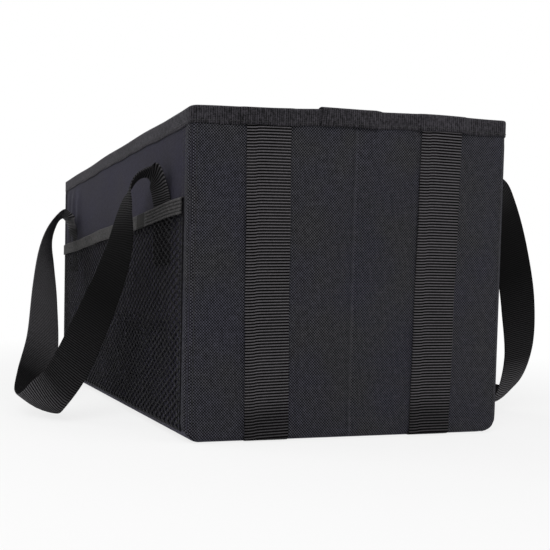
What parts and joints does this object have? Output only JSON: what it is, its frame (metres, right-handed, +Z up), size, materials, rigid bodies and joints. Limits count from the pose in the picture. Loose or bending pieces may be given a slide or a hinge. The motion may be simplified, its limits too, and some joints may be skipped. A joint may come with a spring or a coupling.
{
  "type": "back seat storage basket",
  "caption": "Open-topped soft storage box for a car's back seat: stiff cloth walls, flat belt straps down one face, side mesh pockets and webbing handles hanging outside.",
  "frame": {"origin": "on the floor under the middle of the box", "axes": "+Z up, the face with the belt straps looks to -Y, +X to the right of someone who looks at that face; the handles stand out along X"},
  "size_m": [0.5137, 0.4137, 0.263],
  "materials": {
    "cloth": "coarse diagonal-looking polyester weave, matt",
    "side_cloth": "smoother woven polyester, matt",
    "lining": "plain lining cloth",
    "board": "stiff board, matt",
    "tape": "finely ribbed binding tape",
    "webbing": "cross-ribbed webbing",
    "mesh": "open net"
  },
  "bodies": {
    "root": {"front_cloth": "cloth", "back_cloth": "cloth", "side_and_base_cloth": "side_cloth", "front_lining": "lining", "back_lining": "lining", "side_and_base_lining": "lining", "base_board": "lining", "front_board_left": "board", "front_board_right": "board", "back_board_left": "board", "back_board_right": "board", "side_board_left": "board", "side_board_right": "board", "rim_binding": "tape", "pocket_binding_left": "tape", "pocket_binding_right": "tape", "belt_strap_left": "webbing", "belt_strap_right": "webbing", "handle_left": "webbing", "handle_right": "webbing", "pocket_mesh_left": "mesh", "pocket_mesh_right": "mesh"}
  },
  "joints": []
}
